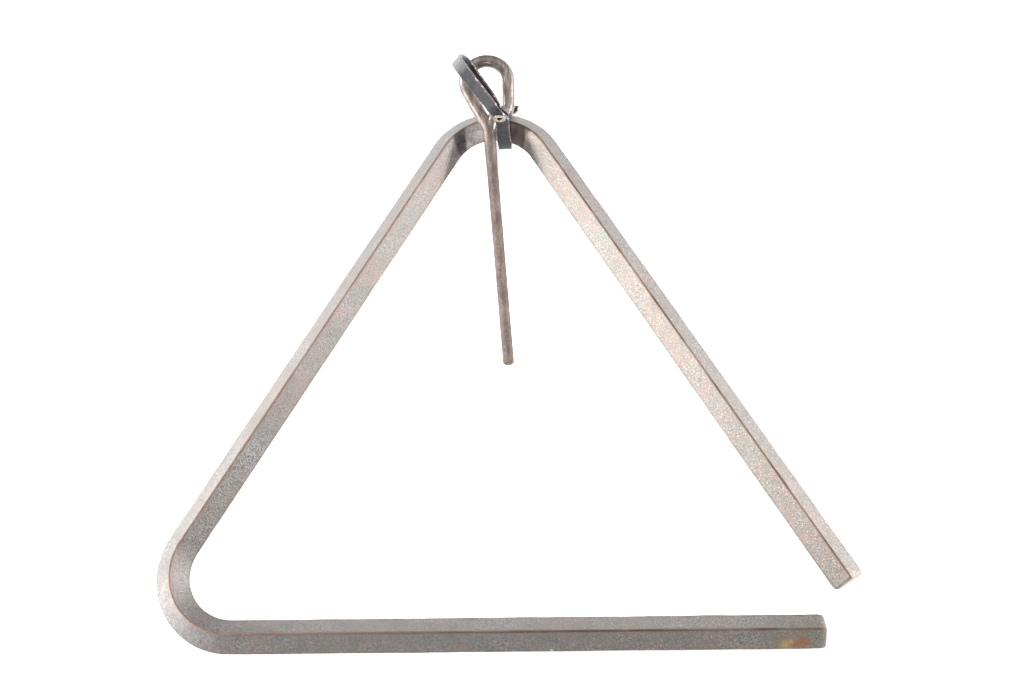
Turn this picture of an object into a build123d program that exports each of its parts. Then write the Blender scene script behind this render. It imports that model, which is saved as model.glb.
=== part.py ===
from build123d import *
import os
from math import asin, cos, degrees, radians, sin, tan

# Yard dinner bell: an open triangle of square steel bar, bent on the diamond, with a leather
# hanger strap looped round its top corner, and a round-rod striker whose eye hangs in the strap.
# It lies on a table. Origin: middle of the whole object, on the table. +X runs along the bottom
# bar towards the open corner, +Y towards the top corner, +Z up from the table.

os.makedirs("parts", exist_ok=True)

# ---- square bar of the triangle ----
bar_size = 12.7
bar_edge_radius = 0.6
bar_end_radius = 0.55
bottom_reach = 352.5
left_side = 369.3
right_reach = 342.6
corner_angle = 59.4
top_angle = 61.9
corner_bend = 31.5
top_bend = 32.2

# ---- round rod of the striker ----
rod_size = 6.35
rod_tip_radius = 1.3
eye_bend = 12.2
eye_rise = 20.2
eye_arm_angle = 27.0
shank_lean = 4.2
shank_length = 132.3
neck_drop = 31.2
neck_bend = 20.0
eye_side = 14.2
closing_bend = 6.5
closing_turn = 70.0
closing_tail = 6.1
striker_slope = 8.05
rod_over_ridge = 4.3
eye_offset = -5.0

# ---- leather strap ----
strap_width = 7.6
leather = 2.0
loop_radius = 10.8
hinge_drop = 0.85
band_offset = 5.0
rear_offset = -0.8
band_lean = 1.8
band_straight = 9.0
band_bend = 8.0
under_bar_arc = 120.0
crossing_start = 245.0
crossing_arc = 50.0
stack_depth = 6.1
stack_low = 22.5
stack_lead = 0.5
rear_bulge = (1.5, 11.5)
rear_bend = 5.0
stack_high = 34.6
hang_root = 4.0
hang_root_radius = 1.6
hang_length = 41.5
hang_fold_radius = 4.4
hang_fold_height = 26.2
hang_throat_radius = 0.4
hang_throat_drop = 0.9

# ---- tubular rivet ----
rivet_height = 29.0
rivet_offset = 3.7
rivet_radius = 2.0
rivet_bore = 1.3
rivet_fit = 0.05
rivet_flange_radius = 3.75
rivet_flange = 0.8

# ---- place of the flat of the bell ----
# The strap passes under the top corner, so the triangle lies with that end raised by a hair:
# its bottom bar and the underside of the strap both touch the table.
half_diagonal = bar_size / 2 * 2 ** 0.5 - bar_edge_radius * (2 ** 0.5 - 1)
strap_low = loop_radius + leather / 2
origin_to_corner = (-194.11, -156.9)
top_x = left_side * cos(radians(corner_angle))
top_y = left_side * sin(radians(corner_angle))
ridge_y = top_y - top_bend / sin(radians(top_angle / 2)) + top_bend
hinge_y = ridge_y - hinge_drop
bend_x = top_x + top_bend / sin(radians(top_angle / 2)) * sin(radians(corner_angle + top_angle / 2 - 90))
tilt = asin((strap_low - half_diagonal) / hinge_y)
lying = Plane(
    origin=(origin_to_corner[0], origin_to_corner[1], half_diagonal * cos(tilt)),
    x_dir=(1, 0, 0),
    z_dir=(0, -sin(tilt), cos(tilt)),
)


def at(x, y, w):
    """A point x along and y up the flat of the bell, and w out of it."""
    return lying.from_local_coords(Vector(x, y, w))


def along(x, y, w):
    """A direction in the flat of the bell."""
    return at(x, y, w) - at(0, 0, 0)


# ---- triangle: one bar, two round bends, the bottom right corner left open ----
right_angle = radians(corner_angle + 180 + top_angle)
right_end = (top_x + right_reach * cos(right_angle), top_y + right_reach * sin(right_angle))
with BuildPart() as triangle_bar:
    with BuildLine(lying) as bar_line:
        FilletPolyline(
            (bottom_reach, 0),
            (0, 0),
            (top_x, top_y),
            right_end,
            radius=[corner_bend, top_bend],
        )
    bar_start = Plane(origin=bar_line.line @ 0, x_dir=along(0, 0, 1), z_dir=bar_line.line % 0)
    with BuildSketch(bar_start):
        RectangleRounded(bar_size, bar_size, bar_edge_radius, rotation=45)
    sweep()
    end_faces = triangle_bar.faces().filter_by(GeomType.PLANE).sort_by(Axis.X)[-2:]
    fillet([edge for face in end_faces for edge in face.edges()], bar_end_radius)
triangle_bar.part.label = "triangle_bar"
export_step(triangle_bar.part, "parts/triangle_bar.step")

# ---- striker: one rod, its upper end bent round into a closed eye ----
slope = radians(striker_slope)
cross_w = half_diagonal + rod_over_ridge
eye_x = bend_x + eye_offset
striker_flat = Plane(
    origin=at(eye_x, ridge_y + eye_rise * cos(slope), cross_w + eye_rise * sin(slope)),
    x_dir=along(1, 0, 0),
    z_dir=along(0, -sin(slope), cos(slope)),
)
arm = radians(eye_arm_angle)
arm_top = (-eye_bend * cos(arm), -eye_bend * sin(arm))
neck = (arm_top[0] + (neck_drop + arm_top[1]) * tan(arm), -neck_drop)
lean = radians(shank_lean)
tip = (neck[0] + shank_length * sin(lean), neck[1] - shank_length * cos(lean))
turn = radians(closing_turn)
closing_centre = (eye_bend - closing_bend, -eye_side)
closing_end = (closing_centre[0] + closing_bend * cos(turn), closing_centre[1] - closing_bend * sin(turn))
tail_end = (closing_end[0] - closing_tail * sin(turn), closing_end[1] - closing_tail * cos(turn))
with BuildPart() as striker:
    with BuildLine(striker_flat) as rod_line:
        FilletPolyline(tip, neck, arm_top, radius=neck_bend)
        CenterArc((0, 0), eye_bend, 180 + eye_arm_angle, -180 - eye_arm_angle)
        Line((eye_bend, 0), (eye_bend, -eye_side))
        CenterArc(closing_centre, closing_bend, 0, -closing_turn)
        Line(closing_end, tail_end)
    tip_point = striker_flat.from_local_coords(Vector(*tip, 0))
    shank_way = striker_flat.from_local_coords(Vector(*neck, 0)) - tip_point
    with BuildSketch(Plane(origin=tip_point, x_dir=along(1, 0, 0).cross(shank_way), z_dir=shank_way)):
        Circle(rod_size / 2)
    sweep()
    fillet(striker.edges().filter_by(GeomType.CIRCLE).sort_by(Axis.Y)[0], rod_tip_radius)
striker.part.label = "striker"
export_step(striker.part, "parts/striker.step")

# ---- hanger strap: a lower loop round the bar and through the eye, and a hanging loop ----
band_x = bend_x + band_offset - strap_width / 2
rear_x = bend_x + rear_offset - strap_width / 2
band_side = Plane(origin=at(band_x, hinge_y, 0), x_dir=along(0, 1, 0), z_dir=along(1, 0, 0))
rear_side = Plane(origin=at(rear_x, hinge_y, 0), x_dir=along(0, 1, 0), z_dir=along(1, 0, 0))
band_top = -loop_radius + band_lean
rear_top = band_top + stack_depth - leather
hang_way = (-0.542, 0.840)
hang_start = (bend_x + band_offset, hinge_y + band_top + stack_depth / 2 - leather / 2)
hang_side = Plane(
    origin=at(
        hang_start[0] - hang_way[1] * strap_width / 2,
        hang_start[1] + hang_way[0] * strap_width / 2,
        0,
    ),
    x_dir=along(hang_way[0], hang_way[1], 0),
    z_dir=along(hang_way[1], -hang_way[0], 0),
)
rivet_axis = Plane(
    origin=at(bend_x + rivet_offset, hinge_y + band_top - leather / 2, rivet_height),
    x_dir=along(1, 0, 0),
    z_dir=along(0, -1, 0),
)
with BuildPart() as hanger_strap:
    # front band, from the rivet down the inside of the bar and under it
    with BuildSketch(band_side):
        with BuildLine():
            FilletPolyline(
                (band_top, stack_high),
                (band_top, stack_low - stack_lead),
                (-loop_radius, band_straight),
                (-loop_radius, 0),
                radius=band_bend,
            )
            CenterArc((0, 0), loop_radius, 180, under_bar_arc)
        trace(line_width=leather)
    extrude(amount=strap_width)
    # crossing from the front band to the rear layer, under the bar
    with BuildSketch(rear_side):
        with BuildLine():
            CenterArc((0, 0), loop_radius, crossing_start, crossing_arc)
        trace(line_width=leather)
    extrude(amount=band_x - rear_x + strap_width)
    # rear layer, up behind the bar, through the striker's eye and over to the rivet
    with BuildSketch(rear_side):
        with BuildLine():
            CenterArc((0, 0), loop_radius, 360 - under_bar_arc, under_bar_arc)
            FilletPolyline(
                (loop_radius, 0),
                (loop_radius + rear_bulge[0], rear_bulge[1]),
                (rear_top, stack_low + stack_lead),
                (rear_top, stack_high),
                radius=rear_bend,
            )
        trace(line_width=leather)
    extrude(amount=strap_width)
    # the three layers that the rivet holds together
    with BuildSketch(band_side):
        with Locations(((band_top + rear_top) / 2, (stack_low + stack_high) / 2)):
            Rectangle(stack_depth, stack_high - stack_low)
    extrude(amount=strap_width)
    # hanging loop, over the top of the stack and down on to the striker's eye
    with BuildSketch(hang_side):
        with Locations((hang_root, stack_high)):
            Circle(hang_root_radius)
        with Locations((hang_length, hang_fold_height)):
            Circle(hang_fold_radius + leather / 2)
        make_hull()
    extrude(amount=strap_width)
    with BuildSketch(hang_side):
        with Locations((hang_root + stack_depth, stack_high - hang_throat_drop)):
            Circle(hang_throat_radius)
        with Locations((hang_length, hang_fold_height)):
            Circle(hang_fold_radius - leather / 2)
        make_hull()
    extrude(amount=strap_width, mode=Mode.SUBTRACT)
    with BuildSketch(rivet_axis):
        Circle(rivet_radius + rivet_fit)
    extrude(amount=-stack_depth, mode=Mode.SUBTRACT)
hanger_strap.part.label = "hanger_strap"
export_step(hanger_strap.part, "parts/hanger_strap.step")

# ---- tubular rivet: a short tube through the layers, with a rolled flange on each face ----
with BuildPart() as tubular_rivet:
    with BuildSketch(rivet_axis):
        Circle(rivet_radius)
        Circle(rivet_bore, mode=Mode.SUBTRACT)
    extrude(amount=-stack_depth)
    with BuildSketch(rivet_axis, rivet_axis.offset(-stack_depth - rivet_flange)):
        Circle(rivet_flange_radius)
        Circle(rivet_bore, mode=Mode.SUBTRACT)
    extrude(amount=rivet_flange)
tubular_rivet.part.label = "tubular_rivet"
export_step(tubular_rivet.part, "parts/tubular_rivet.step")
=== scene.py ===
from math import atan2, cos, degrees, pi, radians, sin, tan

import bmesh
import bpy
import numpy as np
from mathutils import Matrix, Vector, noise


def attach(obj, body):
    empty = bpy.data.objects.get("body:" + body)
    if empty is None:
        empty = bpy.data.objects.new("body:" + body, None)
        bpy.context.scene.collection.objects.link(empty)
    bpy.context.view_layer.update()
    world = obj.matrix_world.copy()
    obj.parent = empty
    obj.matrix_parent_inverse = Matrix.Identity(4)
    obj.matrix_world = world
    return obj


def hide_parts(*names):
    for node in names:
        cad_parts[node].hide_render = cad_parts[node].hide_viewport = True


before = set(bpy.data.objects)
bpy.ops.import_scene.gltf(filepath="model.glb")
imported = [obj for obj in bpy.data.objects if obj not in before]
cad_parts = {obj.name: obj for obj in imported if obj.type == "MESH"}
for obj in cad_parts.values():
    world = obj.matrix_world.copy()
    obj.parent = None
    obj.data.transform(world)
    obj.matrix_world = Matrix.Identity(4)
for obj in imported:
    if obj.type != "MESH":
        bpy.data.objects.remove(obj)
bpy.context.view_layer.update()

# ---- sizes in mm, as in part.py, apart from RIGHT, which is 1 mm longer here ----
BAR = 12.7
HALF_DIAGONAL = 8.7317
BOTTOM = 352.5
LEFT = 369.3
RIGHT = 343.6
CORNER = radians(59.4)
TOP = radians(61.9)
BEND_LOW = 31.5
BEND_TOP = 32.2
TILT = radians(0.6134)
ORIGIN = np.array((-194.11, -156.9, 8.7312))
BEND_X = 188.371
RIDGE_Y = 287.461
CROSS_W = 13.032
RIVET_CENTRE = (BEND_X + 3.7, RIDGE_Y, 29.0)
EX = np.array((1.0, 0.0, 0.0))
EY = np.array((0.0, cos(TILT), sin(TILT)))
EZ = np.array((0.0, -sin(TILT), cos(TILT)))


def lie(points):
    """Points in mm on the flat of the bell, as metres in the row frame."""
    p = np.asarray(points, float).reshape(-1, 3)
    return (ORIGIN + p[:, :1] * EX + p[:, 1:2] * EY + p[:, 2:3] * EZ) / 1000


def unit(v):
    v = np.asarray(v, float)
    return v / np.linalg.norm(v, axis=-1, keepdims=True)


def rough(p, scale, seed=0.0):
    """Smooth noise, about -1 to 1, at a point in mm."""
    return noise.noise(Vector((p[0] / scale + seed, p[1] / scale - seed, p[2] / scale + 2 * seed)))


# ---- paths ----
def fillet_path(points, radii, step):
    """Straight runs joined by tangent arcs, sampled every step mm."""
    pts = [np.array(p, float) for p in points]
    runs = []
    start = pts[0]
    for i in range(1, len(pts) - 1):
        a = unit(pts[i - 1] - pts[i])
        b = unit(pts[i + 1] - pts[i])
        half = np.arccos(np.clip(a @ b, -1, 1)) / 2
        r = radii[i - 1]
        cut = r / tan(half)
        p, q = pts[i] + a * cut, pts[i] + b * cut
        middle = pts[i] + unit(a + b) * r / sin(half)
        runs.append(("line", start, p))
        runs.append(("arc", p, q, middle, r, pi - 2 * half))
        start = q
    runs.append(("line", start, pts[-1]))
    out = []
    for run in runs:
        if run[0] == "line":
            n = max(2, int(np.linalg.norm(run[2] - run[1]) / step))
            out += [run[1] + (run[2] - run[1]) * k / n for k in range(n)]
        else:
            _, p, q, middle, r, sweep = run
            n = max(4, int(r * sweep / step))
            u = (p - middle) / r
            v = unit((q - middle) - ((q - middle) @ u) * u)
            out += [middle + r * (u * cos(sweep * k / n) + v * sin(sweep * k / n)) for k in range(n)]
    out.append(pts[-1])
    return np.array(out)


def smooth_path(stations, steps):
    """A smooth curve through rows of numbers, steps points to each gap."""
    s = np.array(stations, float)
    s = np.vstack((2 * s[0] - s[1], s, 2 * s[-1] - s[-2]))
    out = []
    for i in range(1, len(s) - 2):
        for k in range(steps):
            t = k / steps
            out.append(
                0.5 * (
                    2 * s[i] + (s[i + 1] - s[i - 1]) * t
                    + (2 * s[i - 1] - 5 * s[i] + 4 * s[i + 1] - s[i + 2]) * t ** 2
                    + (3 * s[i] - s[i - 1] - 3 * s[i + 1] + s[i + 2]) * t ** 3
                )
            )
    out.append(s[-2])
    return np.array(out)


def tangents(path):
    return unit(np.gradient(path, axis=0))


def lengths(path):
    return np.concatenate(([0], np.cumsum(np.linalg.norm(np.diff(path, axis=0), axis=1))))


# ---- meshes ----
def skin(name, rings, attributes=None, closed=False):
    """A tube of quads through rings of points in metres, with a closed end at each end."""
    rings = np.asarray(rings, float)
    n, m, _ = rings.shape
    verts = [tuple(v) for v in rings.reshape(-1, 3)]
    faces = []
    last = n if closed else n - 1
    for i in range(last):
        j = (i + 1) % n
        for k in range(m):
            q = (k + 1) % m
            faces.append((i * m + k, i * m + q, j * m + q, j * m + k))
    values = {key: list(np.asarray(v, float).reshape(-1)) for key, v in (attributes or {}).items()}
    if not closed:
        for ring, flip in ((0, True), (n - 1, False)):
            centre = rings[ring].mean(0)
            inner = []
            for share in (0.66, 0.33):
                base = len(verts)
                verts += [tuple(centre + (p - centre) * share) for p in rings[ring]]
                for key in values:
                    values[key] += [values[key][ring * m + k] for k in range(m)]
                inner.append(base)
            verts.append(tuple(centre))
            for key in values:
                values[key].append(values[key][ring * m])
            levels = [ring * m] + inner
            for a, b in zip(levels, levels[1:]):
                for k in range(m):
                    q = (k + 1) % m
                    face = (a + k, a + q, b + q, b + k)
                    faces.append(face[::-1] if flip else face)
            for k in range(m):
                q = (k + 1) % m
                face = (levels[-1] + k, levels[-1] + q, len(verts) - 1)
                faces.append(face[::-1] if flip else face)
    mesh = bpy.data.meshes.new(name)
    mesh.from_pydata(verts, [], faces)
    work = bmesh.new()
    work.from_mesh(mesh)
    bmesh.ops.recalc_face_normals(work, faces=work.faces)
    work.to_mesh(mesh)
    work.free()
    mesh.polygons.foreach_set("use_smooth", [True] * len(mesh.polygons))
    for key, data in values.items():
        layer = mesh.attributes.new(key, "FLOAT", "POINT")
        layer.data.foreach_set("value", np.array(data, np.float32))
    mesh.update()
    piece = bpy.data.objects.new(name, mesh)
    bpy.context.scene.collection.objects.link(piece)
    return piece


# ---- materials ----
class Nodes:
    """Short calls for building one material's nodes."""

    def __init__(self, name):
        self.material = bpy.data.materials.new(name)
        self.material.use_nodes = True
        self.tree = self.material.node_tree
        self.shader = self.tree.nodes["Principled BSDF"]
        self.place = self.tree.nodes.new("ShaderNodeTexCoord").outputs["Object"]

    def add(self, kind, inputs=None, **settings):
        node = self.tree.nodes.new(kind)
        for key, value in settings.items():
            setattr(node, key, value)
        for key, value in (inputs or {}).items():
            socket = node.inputs[key]
            if hasattr(value, "is_linked"):
                self.tree.links.new(value, socket)
            else:
                socket.default_value = value
        return node

    def link(self, value, key):
        self.tree.links.new(value, self.shader.inputs[key])

    def noise(self, scale, detail=4.0, roughness=0.55, distortion=0.0, place=None):
        return self.add(
            "ShaderNodeTexNoise",
            {"Vector": place or self.place, "Scale": scale, "Detail": detail,
             "Roughness": roughness, "Distortion": distortion},
        ).outputs["Fac"]

    def stretch(self, scale):
        return self.add("ShaderNodeMapping", {"Vector": self.place, "Scale": scale}).outputs["Vector"]

    def ramp(self, value, low, high, out_low=0.0, out_high=1.0):
        return self.add(
            "ShaderNodeMapRange",
            {"Value": value, "From Min": low, "From Max": high, "To Min": out_low, "To Max": out_high},
            interpolation_type="SMOOTHSTEP",
        ).outputs["Result"]

    def maths(self, operation, a, b=0.0, c=0.0):
        return self.add("ShaderNodeMath", {0: a, 1: b, 2: c}, operation=operation).outputs["Value"]

    def mix(self, share, a, b):
        node = self.add("ShaderNodeMix", data_type="RGBA")
        for index, value in ((0, share), (6, a), (7, b)):
            socket = node.inputs[index]
            if hasattr(value, "is_linked"):
                self.tree.links.new(value, socket)
            else:
                socket.default_value = value
        return node.outputs[2]

    def attribute(self, name):
        return self.add("ShaderNodeAttribute", attribute_name=name).outputs["Fac"]

    def spot(self, centre, radius, edge):
        """1 inside a ragged round spot on the object, 0 outside it."""
        away = self.add(
            "ShaderNodeVectorMath", {0: self.place, 1: centre}, operation="DISTANCE"
        ).outputs["Value"]
        ragged = self.maths("MULTIPLY_ADD", self.noise(900.0, 3.0), edge, away)
        return self.ramp(ragged, radius, radius + edge * 0.9, 1.0, 0.0)

    def bump(self, heights):
        """Bumps laid over each other: (height, distance in metres, strength)."""
        normal = None
        for height, distance, strength in heights:
            inputs = {"Height": height, "Distance": distance, "Strength": strength}
            if normal is not None:
                inputs["Normal"] = normal
            normal = self.add("ShaderNodeBump", inputs).outputs["Normal"]
        self.link(normal, "Normal")


def rgb(r, g, b):
    """A colour given as 0 to 255 screen values."""
    def one(c):
        c = c / 255
        return c / 12.92 if c <= 0.04045 else ((c + 0.055) / 1.055) ** 2.4
    return (one(r), one(g), one(b), 1.0)


def bar_material():
    n = Nodes("bar_steel")
    edge = n.attribute("edge")
    ridge = n.attribute("ridge")
    cloud = n.noise(38.0, 5.0, 0.55)
    mottle = n.noise(760.0, 5.0, 0.7)
    grain = n.noise(1500.0, 3.0, 0.6)
    blotch = n.noise(170.0, 5.0, 0.6, 0.6)
    where = n.add("ShaderNodeSeparateXYZ", {"Vector": n.place})
    along, across = where.outputs["X"], where.outputs["Y"]
    base = n.mix(n.ramp(mottle, 0.34, 0.68), rgb(98, 95, 94), rgb(148, 145, 142))
    base = n.mix(n.ramp(cloud, 0.42, 0.60, 0.0, 0.65), base, rgb(124, 116, 111))
    base = n.mix(n.ramp(n.noise(60.0, 3.0, 0.5), 0.54, 0.66, 0.0, 0.4), base, rgb(112, 118, 114))
    base = n.mix(n.ramp(n.noise(105.0, 4.0, 0.6), 0.47, 0.62, 0.0, 0.4), base, rgb(134, 117, 113))
    base = n.mix(n.ramp(n.noise(85.0, 4.0, 0.6), 0.50, 0.64, 0.0, 0.3), base, rgb(102, 110, 106))
    base = n.mix(n.ramp(blotch, 0.56, 0.74, 0.0, 0.3), base, rgb(96, 84, 76))
    # painted glints: bright golden specks, thicker towards the right leg where the side light catches the bar
    painted_glints = n.maths("MULTIPLY", n.ramp(grain, 0.57, 0.70), n.ramp(along, -0.02, 0.08, 0.35, 0.95))
    base = n.mix(painted_glints, base, rgb(204, 184, 146))
    base = n.mix(n.ramp(grain, 0.42, 0.30, 0.0, 0.55), base, rgb(72, 64, 58))
    # painted shade: the bottom bar a little darker
    base = n.mix(n.ramp(across, -0.09, -0.145, 0.0, 0.12), base, rgb(86, 82, 83))
    brown = n.maths("MULTIPLY", n.ramp(edge, 1.7, 0.1, 0.0, 0.75), n.ramp(blotch, 0.34, 0.62, 0.2, 1.0))
    base = n.mix(brown, base, rgb(116, 88, 74))
    line = n.maths("MULTIPLY", n.ramp(ridge, 2.4, 0.4, 0.0, 0.5), n.ramp(blotch, 0.36, 0.56, 0.5, 1.0))
    base = n.mix(line, base, rgb(132, 117, 108))
    core = n.maths("MULTIPLY", n.ramp(ridge, 1.2, 0.3, 0.0, 0.75), n.ramp(cloud, 0.36, 0.60, 0.35, 1.0))
    base = n.mix(core, base, n.mix(n.ramp(along, -0.10, 0.05), rgb(104, 88, 83), rgb(66, 51, 44)))
    # painted highlight: the rounded bar ends lightened
    end_highlight = n.maths("MULTIPLY", n.attribute("tip"), n.ramp(mottle, 0.35, 0.6, 0.5, 0.9))
    base = n.mix(end_highlight, base, rgb(178, 166, 148))
    # stains near the bottom bar's right end, each two spots of centre, radius and ragged edge in metres
    for colour, share, one, two in (
        (rgb(126, 108, 76), 0.45, ((0.1455, -0.1622, 0.0120), 0.0062, 0.0070),
         ((0.1365, -0.1622, 0.0115), 0.0060, 0.0070)),
        (rgb(150, 84, 44), 0.62, ((0.1466, -0.1625, 0.0120), 0.0026, 0.0044),
         ((0.1438, -0.1624, 0.0108), 0.0022, 0.0040)),
        (rgb(190, 158, 84), 0.55, ((0.1378, -0.1630, 0.0100), 0.0024, 0.0040),
         ((0.1402, -0.1620, 0.0116), 0.0014, 0.0034)),
    ):
        stain = n.maths("MAXIMUM", n.spot(*one), n.spot(*two))
        base = n.mix(n.maths("MULTIPLY", stain, share), base, colour)
    nick = n.spot((0.0225, -0.1655, 0.0100), 0.0008, 0.0016)
    base = n.mix(nick, base, rgb(214, 210, 196))
    # painted shadow: dark patches where the striker and strap shade the inside of the top bend, from the
    # scale attribute
    scale = n.maths("MULTIPLY", n.attribute("scale"), n.ramp(blotch, 0.30, 0.60, 0.95, 0.70))
    base = n.mix(scale, base, rgb(52, 44, 43))
    n.link(base, "Base Color")
    n.shader.inputs["Metallic"].default_value = 0.8
    n.link(n.maths("MULTIPLY_ADD", n.ramp(mottle, 0.3, 0.7), 0.2, 0.42), "Roughness")
    n.bump([(cloud, 0.0012, 0.25), (mottle, 0.0004, 0.65), (grain, 0.0002, 0.8)])
    return n.material


def rod_material():
    n = Nodes("rod_steel")
    eye_wear_and_sheen = n.attribute("eye")
    cloud = n.noise(90.0, 5.0, 0.6)
    pit = n.noise(900.0, 4.0, 0.65)
    grain = n.noise(2200.0, 3.0, 0.6)
    drawn = n.noise(500.0, 4.0, 0.6, 0.0, n.stretch((1.0, 0.12, 1.0)))
    base = n.mix(n.ramp(cloud, 0.38, 0.64), rgb(84, 74, 69), rgb(101, 91, 85))
    base = n.mix(n.ramp(drawn, 0.45, 0.68, 0.0, 0.6), base, rgb(128, 115, 106))
    shank = n.mix(n.ramp(pit, 0.5, 0.64, 0.0, 0.75), base, rgb(84, 70, 63))
    shank = n.mix(n.ramp(grain, 0.6, 0.74, 0.0, 0.6), shank, rgb(176, 160, 146))
    shank = n.mix(n.ramp(n.noise(220.0, 4.0, 0.6), 0.56, 0.7, 0.0, 0.5), shank, rgb(126, 94, 74))
    # the eye paler than the shank: smoother worn metal, partly painted sheen
    eye = n.mix(n.ramp(drawn, 0.40, 0.66), rgb(102, 91, 85), rgb(138, 127, 120))
    n.link(n.mix(eye_wear_and_sheen, shank, eye), "Base Color")
    n.shader.inputs["Metallic"].default_value = 0.65
    duller = n.ramp(eye_wear_and_sheen, 0.0, 1.0, 0.56, 0.28)
    n.link(n.maths("MULTIPLY_ADD", n.ramp(pit, 0.3, 0.7), 0.16, duller), "Roughness")
    depth = n.add("ShaderNodeMix", {"Factor": eye_wear_and_sheen, "A": 1.0, "B": 0.3}, data_type="FLOAT").outputs[0]
    n.bump([(cloud, 0.0008, 0.3), (n.maths("MULTIPLY", pit, depth), 0.0006, 0.6),
            (n.maths("MULTIPLY", grain, depth), 0.0002, 0.6)])
    return n.material


def leather_material():
    n = Nodes("strap_leather")
    edge = n.attribute("edge")
    flesh = n.attribute("flesh")
    cells = n.add("ShaderNodeTexVoronoi", {"Vector": n.place, "Scale": 1500.0}, feature="DISTANCE_TO_EDGE")
    cloud = n.noise(240.0, 5.0, 0.6)
    fine = n.noise(1800.0, 4.0, 0.6)
    creases = n.noise(420.0, 4.0, 0.6, 1.2, n.stretch((1.0, 0.5, 0.5)))
    face = n.mix(n.ramp(cloud, 0.35, 0.68), rgb(10, 8, 10), rgb(48, 42, 46))
    face = n.mix(n.ramp(fine, 0.62, 0.76, 0.0, 0.4), face, rgb(92, 88, 92))
    face = n.mix(n.ramp(creases, 0.6, 0.72, 0.0, 0.6), face, rgb(50, 32, 31))
    rough_side = n.mix(n.ramp(fine, 0.4, 0.7), rgb(28, 21, 23), rgb(52, 41, 43))
    base = n.mix(flesh, face, rough_side)
    base = n.mix(n.ramp(edge, 0.7, 0.1, 0.0, 0.7), base, rgb(112, 102, 106))
    # painted sheen: a pale glossy patch around the hanging loop's fold
    fold = n.maths("MULTIPLY", n.attribute("fold"), n.ramp(fine, 0.3, 0.6, 0.75, 1.0))
    base = n.mix(fold, base, rgb(122, 121, 124))
    scuff = n.maths("MULTIPLY", n.ramp(edge, 0.75, 0.2), n.ramp(n.noise(430.0, 4.0, 0.6), 0.53, 0.63))
    base = n.mix(n.maths("MULTIPLY", scuff, 0.7), base, rgb(196, 188, 188))
    n.link(base, "Base Color")
    n.link(n.ramp(cloud, 0.3, 0.7, 0.36, 0.58), "Roughness")
    n.shader.inputs["Specular IOR Level"].default_value = 0.22
    n.shader.inputs["Coat Weight"].default_value = 0.03
    n.shader.inputs["Coat Roughness"].default_value = 0.3
    n.bump([(cloud, 0.001, 0.5), (creases, 0.0005, 0.5), (cells.outputs["Distance"], 0.00015, 0.8),
            (fine, 0.0001, 0.5)])
    return n.material


def rivet_material():
    n = Nodes("rivet_brass")
    bore = n.attribute("bore")
    cloud = n.noise(700.0, 4.0, 0.6)
    scratch = n.noise(2600.0, 3.0, 0.6, 0.0, n.stretch((1.0, 0.2, 1.0)))
    base = n.mix(n.ramp(cloud, 0.35, 0.68), rgb(136, 127, 117), rgb(166, 157, 146))
    base = n.mix(n.ramp(scratch, 0.6, 0.74, 0.0, 0.5), base, rgb(112, 94, 74))
    # painted shade: the bore and the split in the front lip darkened
    base = n.mix(bore, base, rgb(30, 18, 12))
    n.link(base, "Base Color")
    n.shader.inputs["Metallic"].default_value = 0.7
    n.link(n.ramp(cloud, 0.3, 0.7, 0.28, 0.46), "Roughness")
    n.bump([(cloud, 0.0003, 0.4), (scratch, 0.0001, 0.4)])
    return n.material


def floor_material():
    n = Nodes("white_table")
    soft = n.noise(3.0, 2.0)
    n.link(n.mix(soft, (0.93, 0.94, 0.95, 1), (0.96, 0.96, 0.96, 1)), "Base Color")
    n.shader.inputs["Roughness"].default_value = 0.6
    n.shader.inputs["Specular IOR Level"].default_value = 0.2
    n.shader.inputs["Emission Color"].default_value = (0.86, 0.93, 1.0, 1)
    n.shader.inputs["Emission Strength"].default_value = 0.6
    return n.material


# ---- triangle ----
END_STEPS = (0.0, 0.12, 0.35, 0.65)
END_INSETS = (1.55, 1.05, 0.68, 0.38, 0.18, 0.05)
WORN_SECTIONS = 7


def square_section(radii, arc=5, side=12):
    """A square on its corner, its edges rounded by radii.

    Gives its points, their outward ways, and how many mm each is from the nearest edge and the top edge.
    """
    h = BAR / 2
    points, ways, from_edge = [], [], []
    for c in range(4):
        r = radii[c]
        base = c * pi / 2
        centre = np.array((cos(base + pi / 4), sin(base + pi / 4))) * (h - r) * 2 ** 0.5
        for k in range(arc + 1):
            a = base + (pi / 2) * k / arc
            way = np.array((cos(a), sin(a)))
            points.append(centre + r * way)
            ways.append(way)
            from_edge.append(abs(k / arc - 0.5) * r * pi / 2)
        r_next = radii[(c + 1) % 4]
        start = points[-1]
        nxt = base + pi / 2
        centre = np.array((cos(nxt + pi / 4), sin(nxt + pi / 4))) * (h - r_next) * 2 ** 0.5
        end = centre + r_next * np.array((cos(nxt), sin(nxt)))
        for k in range(1, side):
            points.append(start + (end - start) * k / side)
            ways.append(np.array((cos(nxt), sin(nxt))))
            from_edge.append(min(k, side - k) / side * (BAR - 1.6) + 0.6)
    turn = np.array(((cos(pi / 4), -sin(pi / 4)), (sin(pi / 4), cos(pi / 4))))
    points = np.array(points) @ turn.T
    ways = np.array(ways) @ turn.T
    top = np.linalg.norm(points - np.array((0, HALF_DIAGONAL)), axis=1)
    return points, ways, np.array(from_edge), top


def bend_shadow(p, q):
    """Painted shadow of the striker and strap, in two patches on the inside of the top bend, 0 to 1, at
    section point q of path point p.
    """
    if q[0] > -0.1 or q[1] < -0.1 or p[1] < RIDGE_Y - 40:
        return 0.0
    turn = degrees(atan2(p[0] - BEND_X, p[1] - RIDGE_Y + BEND_TOP))
    depth = -q[0] / HALF_DIAGONAL
    left = (-turn - 10 * depth - 30.0) / 2.0, (47.0 + turn + 10 * depth) / 2.0
    right = (turn - 10 * depth - 4.0) / 3.0, (33.0 - turn + 10 * depth) / 1.6
    return float(max(np.clip(min(left), 0, 1), np.clip(min(right), 0, 1)))


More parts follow.
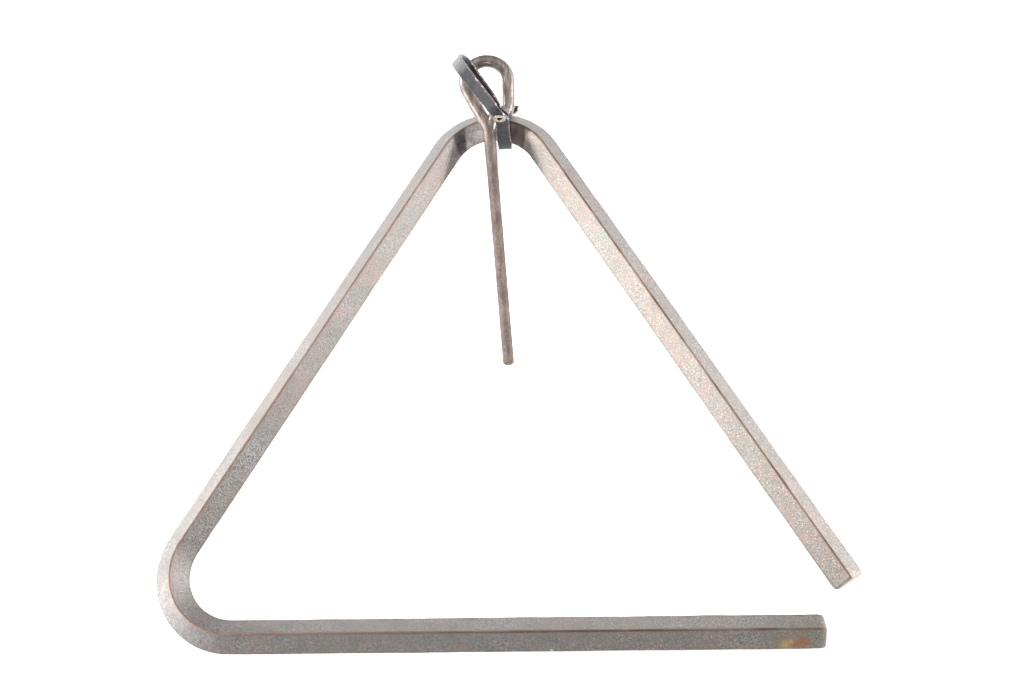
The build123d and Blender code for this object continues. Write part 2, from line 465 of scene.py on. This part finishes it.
def make_bar():
    top_x, top_y = LEFT * cos(CORNER), LEFT * sin(CORNER)
    down = CORNER + pi + TOP
    path = fillet_path(
        [(BOTTOM, 0), (0, 0), (top_x, top_y), (top_x + RIGHT * cos(down), top_y + RIGHT * sin(down))],
        [BEND_LOW, BEND_TOP], 1.0,
    )
    way = tangents(path)
    # closer sections at each end, drawn in by END_INSETS so that the end is rounded
    close = np.array(END_STEPS).reshape(-1, 1)
    path = np.vstack((path[0] + way[0] * close, path[1:-1], path[-1] - way[-1] * close[::-1]))
    way = np.vstack([way[0]] * len(close) + [way[1:-1]] + [way[-1]] * len(close))
    inset = np.zeros(len(path))
    inset[:len(END_INSETS)] = END_INSETS
    inset[-len(END_INSETS):] = END_INSETS[::-1]
    from_end = np.minimum(np.arange(len(path)), np.arange(len(path))[::-1])
    rings, edges, tops, bend_shadows, tips = [], [], [], [], []
    for i, (p, t) in enumerate(zip(path, way)):
        out = np.array((-t[1], t[0]))
        near_end = max(0.0, 1 - from_end[i] / WORN_SECTIONS)
        worn = 1.9 * near_end ** 1.4
        radii = [
            0.75 + worn * (0.35 if c == 0 else 1.0) + 0.3 * rough((i, c * 40.0, 0), 14.0, 3.1)
            for c in range(4)
        ]
        points, ways, from_edge, top = square_section(radii)
        ring = []
        for q, w in zip(points, ways):
            here = np.array((p[0] + out[0] * q[0], p[1] + out[1] * q[0], q[1]))
            swell = 0.10 * rough(here, 22.0, 1.7) + 0.05 * rough(here, 4.0, 5.2) - 0.07
            swell -= inset[i] + 0.25 * max(0.0, rough(here, 3.0, 9.0)) * (inset[i] > 0)
            ring.append((
                here[0] + out[0] * w[0] * swell,
                here[1] + out[1] * w[0] * swell,
                here[2] + w[1] * swell,
            ))
        rings.append(lie(ring))
        edges.append(from_edge)
        tops.append(top)
        # painted shadow of the striker and strap on the top bend, kept in the scale attribute
        bend_shadows.append([bend_shadow(p, q) for q in points])
        tips.append([near_end] * len(points))
    return skin("bar_forged", rings, {"edge": edges, "ridge": tops, "scale": bend_shadows, "tip": tips})


# ---- striker, in mm, some sizes a little off part.py's to follow the photo ----
SLOPE = radians(8.05)
EYE_BEND = 12.3
EYE_OFFSET = -4.2
EYE_RISE = 20.6
EYE_ARM = radians(28.0)
EYE_SIDE = 14.2
NECK_DROP = 28.6
NECK_BEND = 20.0
SHANK_LEAN = radians(4.2)
SHANK = 135.3
CLOSING_BEND = 6.5
CLOSING_TURN = radians(70.0)
TAIL = ((5.0, -21.4), (3.3, -23.8), (2.7, -27.0), (2.6, -31.0), (2.8, -35.0))
TIP_RADIUS = 3.05
TIP_ROUND = 1.6
TAIL_TAPER = 13


def make_striker():
    eye = np.array((
        BEND_X + EYE_OFFSET, RIDGE_Y + EYE_RISE * cos(SLOPE), CROSS_W + EYE_RISE * sin(SLOPE),
    ))
    arm_top = np.array((-EYE_BEND * cos(EYE_ARM), -EYE_BEND * sin(EYE_ARM)))
    neck = np.array((arm_top[0] + (NECK_DROP + arm_top[1]) * tan(EYE_ARM), -NECK_DROP))
    tip = np.array((neck[0] + SHANK * sin(SHANK_LEAN), neck[1] - SHANK * cos(SHANK_LEAN)))
    flat = list(fillet_path([tip, neck, arm_top], [NECK_BEND], 0.8)[:-1])
    for k in range(60):
        a = pi + EYE_ARM - (pi + EYE_ARM) * k / 60
        flat.append(np.array((cos(a), sin(a))) * EYE_BEND)
    for k in range(18):
        flat.append(np.array((EYE_BEND, -EYE_SIDE * k / 18)))
    middle = np.array((EYE_BEND - CLOSING_BEND, -EYE_SIDE))
    for k in range(12):
        a = -CLOSING_TURN * k / 12
        flat.append(middle + CLOSING_BEND * np.array((cos(a), sin(a))))
    end = middle + CLOSING_BEND * np.array((cos(CLOSING_TURN), -sin(CLOSING_TURN)))
    tail = smooth_path([end, *TAIL], 6)
    flat += list(tail)
    flat = np.array(flat)
    up = np.array((0, -sin(SLOPE), cos(SLOPE)))
    along = np.array((0, cos(SLOPE), sin(SLOPE)))
    path = eye + flat[:, :1] * EX + flat[:, 1:2] * along
    way = tangents(path)
    s = lengths(path)
    total = s[-1]
    rings, eye_wear_and_sheen_rows = [], []
    around = 28
    for i, (p, t) in enumerate(zip(path, way)):
        across = unit(np.cross(t, up))
        body = min(1.0, max(0.0, (s[i] - 110) / 40))
        r = TIP_RADIUS + 0.14 * min(1, s[i] / 120) + 0.44 * body
        if s[i] < TIP_ROUND:
            r -= 1.25 * (1 - s[i] / TIP_ROUND) ** 2
        if total - s[i] < TAIL_TAPER:
            r -= 1.7 * (1 - (total - s[i]) / TAIL_TAPER)
        ring = []
        for k in range(around):
            a = 2 * pi * k / around
            w = across * cos(a) + up * sin(a)
            here = p + w * r
            swell = 0.05 * rough(here, 5.0, 2.2) + 0.035 * (1 - body) * rough(here, 1.6, 4.4) - 0.03
            ring.append(here + w * swell)
        rings.append(lie(ring))
        eye_wear_and_sheen_rows.append([body] * around)
    return skin("striker_rod", rings, {"eye": eye_wear_and_sheen_rows})


# ---- strap ----
FOLD_ROW = 10
PUNCH_RADIUS = 0.0018
PUNCH_REACH = (-0.013, -0.003)
ROUND = 0.55


def ribbon(name, stations, width=7.5, thick=1.9, steps=14, seed=0.0):
    """A leather strip, its flesh side inwards.

    Each station is a place and a width way, both x, y, w with the place in mm from the top bend, and a
    share of the full width.
    """
    rows = smooth_path(stations, steps)
    path = rows[:, :3] + np.array((BEND_X, RIDGE_Y, 0))
    t = tangents(path)
    side = rows[:, 3:6]
    side = unit(side - (side * t).sum(1, keepdims=True) * t)
    face = np.cross(side, t)
    wide = rows[:, 6]
    s = lengths(path)
    total = s[-1]
    flat, arc = 12, 4
    rings, edges, flesh, fold_sheens = [], [], [], []
    fold_start = s[FOLD_ROW * steps]
    for i in range(len(path)):
        taper = min(1.0, 0.55 + s[i] / 1.2, 0.55 + (total - s[i]) / 1.2)
        half_w = width * wide[i] / 2 * (0.9 + 0.1 * taper)
        half_t = thick / 2 * taper
        ring, edge, inner = [], [], []
        # across the strip, along, their outward ways, and 1 on the flesh side
        outline = []
        for k in range(flat + 1):
            outline.append((half_w - ROUND - (2 * half_w - 2 * ROUND) * k / flat, half_t, 0, 1, 1))
        for k in range(1, arc):
            a = pi / 2 + pi * k / arc
            outline.append((-half_w + ROUND + ROUND * cos(a), half_t * sin(a), -1, 0, 0.5))
        for k in range(flat + 1):
            outline.append((-half_w + ROUND + (2 * half_w - 2 * ROUND) * k / flat, -half_t, 0, -1, 0))
        for k in range(1, arc):
            a = -pi / 2 + pi * k / arc
            outline.append((half_w - ROUND + ROUND * cos(a), half_t * sin(a), 1, 0, 0.5))
        for u, v, du, dv, rough_side in outline:
            here = path[i] + side[i] * u + face[i] * v
            swell = 0.10 * rough(here, 3.4, seed) + 0.05 * rough(here, 1.3, seed + 3)
            cup = -0.22 * (u / half_w) ** 2
            place = here + side[i] * du * swell * 1.4 + face[i] * (dv * swell + cup)
            ring.append(place)
            edge.append(half_w - abs(u))
            inner.append(rough_side)
        rings.append(lie(ring))
        edges.append(edge)
        flesh.append(inner)
        # painted sheen along the fold, kept in the fold attribute
        fold_sheen = float(np.clip(1.15 - abs(s[i] - fold_start - 4.0) / 11.0, 0, 1))
        fold_sheens.append([fold_sheen] * len(ring))
    return skin(name, rings, {"edge": edges, "flesh": flesh, "fold": fold_sheens})


def hang(share, layer):
    """A station on the hanging loop, and what its fold is built from.

    share is 0 at the loop's root and 1 at its fold. layer is 1 above and -1 below.
    """
    reach = 5.5 + 34.0 * share
    twist = radians(50 - 10 * share)
    gap = 1.35 + 2.35 * share ** 0.7
    height = 31.6 - 4.3 * share
    ahead = np.array((-0.542, 0.840, 0))
    right = np.array((0.840, 0.542, 0))
    side = cos(twist) * right + sin(twist) * np.array((0, 0, 1))
    normal = cos(twist) * np.array((0, 0, 1)) - sin(twist) * right
    root = np.array((5.0, -7.8, 0))
    middle = root + ahead * reach + np.array((0, 0, height)) - right * (2.0 - 1.1 * share)
    place = middle + normal * gap * layer
    return [*place, *side, 0.95 + 0.05 * share], middle, normal, side, gap, ahead


def make_strap():
    x = (1, 0, 0)
    rows = []
    # middle layer, from its cut end up through the rivet
    rows += [[5.0, -7.8, 23.2, *x, 0.96], [5.0, -7.8, 26.0, *x, 0.96], [5.0, -7.8, 29.0, *x, 0.96]]
    rows += [[2.7, -7.2, 30.5, 1, 0.3, 0.3, 0.82]]
    # lower layer of the hanging loop, its fold, and the upper layer back to the rivet
    for share in (0.0, 0.2, 0.4, 0.6, 0.8, 1.0):
        rows.append(hang(share, -1)[0])
    _, middle, normal, side, gap, ahead = hang(1.0, 1)
    for a in (-45, 0, 45):
        place = middle + ahead * gap * cos(radians(a)) * 1.05 + normal * gap * sin(radians(a))
        rows.append([*place, *side, 1.0])
    for share in (1.0, 0.8, 0.6, 0.4, 0.2, 0.05):
        rows.append(hang(share, 1)[0])
    rows += [[0.9, -7.8, 32.0, 1, 0.35, 0.35, 0.8], [3.1, -9.6, 31.2, 1, 0.12, 0.05, 0.78]]
    # front band, down past the rivet, inside the bar and under it
    rows += [[4.5, -9.95, 29.2, *x, 0.88], [5.0, -9.95, 26.0, *x, 1.0], [5.0, -10.0, 22.0, *x, 1.0]]
    rows += [[5.0, -10.6, 15.0, *x, 1.0], [5.2, -11.3, 8.0, 1, -0.05, -0.08, 1.04]]
    rows += [[5.6, -11.6, 2.2, 1, -0.06, -0.12, 1.10]]
    # under the bar and up behind it, moving to the right
    centre_y, centre_w = -0.85, 0.0
    for a, shift, r in (
        (205, 0.5, 10.75), (230, 0.4, 10.75), (255, 0.4, 10.75), (280, 0.7, 10.75),
        (305, 0.8, 10.75), (330, 0.8, 10.9), (355, 0.7, 11.1), (15, 2.4, 10.95),
    ):
        q = radians(a)
        rows.append([5.0 + shift, centre_y + r * cos(q), centre_w + r * sin(q), 1, 0, 0.0, 1.0])
    # bulge to the right of the eye's arm, then under the arm and up through the eye to the rivet
    rows += [[10.4, 9.0, 4.4, 1, 0.0, 0.1, 1.0], [6.7, 6.9, 5.0, 1, 0.1, 0.05, 0.84]]
    rows += [[2.2, 6.1, 8.2, *x, 0.56], [1.1, 5.7, 12.8, *x, 0.5], [1.1, 4.4, 17.4, *x, 0.52]]
    rows += [[1.7, 0.4, 20.9, *x, 0.6], [3.2, -4.2, 24.2, *x, 0.8], [4.6, -5.7, 28.0, *x, 0.94]]
    rows += [[4.9, -5.75, 30.2, *x, 0.94]]
    strip = ribbon("strap_leather_strip", rows, seed=2.0)
    # the rivet's hole through the layers, in metres, its edge hidden in the rivet
    axis = lie([RIVET_CENTRE])[0]
    work = bmesh.new()
    work.from_mesh(strip.data)
    inside = []
    for face in work.faces:
        from_axis = np.array(face.calc_center_median()) - axis
        across = (from_axis @ EX) ** 2 + (from_axis @ EZ) ** 2
        if across < PUNCH_RADIUS ** 2 and PUNCH_REACH[0] < from_axis @ EY < PUNCH_REACH[1]:
            inside.append(face)
    bmesh.ops.delete(work, geom=inside, context="FACES")
    work.to_mesh(strip.data)
    work.free()
    return strip


# ---- rivet ----
def make_rivet():
    """A short tube with a rolled lip on each face and one split in its front lip."""
    centre = np.array(RIVET_CENTRE)
    front, back = -11.0, -4.75
    # radius and depth, round the front lip, through the bore, round the back lip and back outside the tube
    profile = [(3.62, front + 0.16)]
    for k in range(9):
        a = pi * k / 8
        profile.append((2.5 + 1.12 * cos(a), front - 0.62 * sin(a)))
    profile += [(1.34, front + 0.4), (1.3, front + 2.0), (1.3, back - 1.0), (1.36, back - 0.3)]
    for k in range(7):
        a = pi - pi * k / 6
        profile.append((2.5 + 1.15 * cos(a), back + 0.5 * sin(a)))
    profile += [(3.6, back - 0.12), (2.0, back - 0.16), (2.0, front + 0.16)]
    rings, bore_shades = [], []
    around = 64
    for r, y in profile:
        ring, dark = [], []
        for k in range(around):
            a = 2 * pi * k / around
            split = np.exp(-((a - 1.5 * pi + 0.15) / 0.09) ** 2) * (y < front + 0.1) * (r > 1.5)
            q = r * (1 + 0.02 * sin(3 * a + 0.7) + 0.012 * sin(7 * a)) - 0.35 * split * (r > 3)
            lift = 0.4 * split
            ring.append((centre[0] + q * cos(a), centre[1] + y + lift, centre[2] + q * sin(a)))
            # painted shade inside the bore and in the lip's split
            dark.append(1.0 if r < 1.5 and y > front - 0.05 else 0.8 * split)
        rings.append(lie(ring))
        bore_shades.append(dark)
    return skin("rivet_eyelet", rings, {"bore": bore_shades}, closed=True)


# ---- pieces on their bodies ----
for make, material, body, node, slot in (
    (make_bar, bar_material, "triangle", "triangle_bar", "bar_steel"),
    (make_striker, rod_material, "striker", "striker", "rod_steel"),
    (make_strap, leather_material, "hanger", "hanger_strap", "strap_leather"),
    (make_rivet, rivet_material, "hanger", "tubular_rivet", "rivet_brass"),
):
    piece = make()
    piece.data.materials.append(material())
    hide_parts(node)
    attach(piece, body)

# ---- table, lights and camera ----
TABLE_HALF = 3.0
plane = bpy.data.meshes.new("table")
corners = [(x * TABLE_HALF, y * TABLE_HALF, 0) for x, y in ((-1, -1), (1, -1), (1, 1), (-1, 1))]
plane.from_pydata(corners, [], [(0, 1, 2, 3)])
table = bpy.data.objects.new("table", plane)
bpy.context.scene.collection.objects.link(table)
table.data.materials.append(floor_material())


def area_light(name, place, aim, size, watts, colour=(1, 1, 1)):
    light = bpy.data.lights.new(name, "AREA")
    light.shape = "RECTANGLE"
    light.size, light.size_y = size
    light.energy = watts
    light.color = colour
    lamp = bpy.data.objects.new(name, light)
    bpy.context.scene.collection.objects.link(lamp)
    lamp.location = place
    lamp.rotation_euler = (Vector(aim) - Vector(place)).to_track_quat("-Z", "Y").to_euler()
    return lamp


area_light("softbox_left", (-0.95, -0.25, 0.40), (0, 0, 0), (0.20, 0.16), 16, (1.0, 0.98, 0.96))
area_light("softbox_right", (0.95, 0.02, 0.38), (0, 0, 0), (0.16, 0.14), 10.5)
area_light("back_left", (-0.95, 0.50, 0.36), (-0.05, 0, 0), (0.4, 0.25), 11, (0.98, 0.985, 1.0))
area_light("back_right", (0.95, 0.55, 0.34), (0.05, 0, 0), (0.4, 0.25), 6.8, (0.98, 0.985, 1.0))
fill = area_light("front_fill", (0.0, -0.35, 0.30), (-0.006, 0.115, 0.0), (0.12, 0.08), 0.09)
fill.data.spread = radians(32)
area_light("overhead", (0.0, 0.5, 1.4), (0, 0, 0), (1.6, 1.0), 8)

world = bpy.data.worlds.new("studio")
bpy.context.scene.world = world
world.use_nodes = True
world.node_tree.nodes["Background"].inputs["Color"].default_value = (0.95, 0.97, 1.0, 1)
world.node_tree.nodes["Background"].inputs["Strength"].default_value = 0.5

camera_data = bpy.data.cameras.new("camera")
camera_data.lens = 52.362
camera_data.sensor_width = 36.0
camera_data.clip_start = 0.01
camera = bpy.data.objects.new("camera", camera_data)
bpy.context.scene.collection.objects.link(camera)
camera.matrix_world = Matrix((
    (0.999336, 0.016424, 0.032531, 0.029346),
    (-0.003335, 0.930156, -0.367150, -0.293756),
    (-0.036289, 0.366797, 0.929593, 0.754451),
    (0, 0, 0, 1),
))
bpy.context.scene.camera = camera
bpy.context.scene.view_settings.view_transform = "Standard"
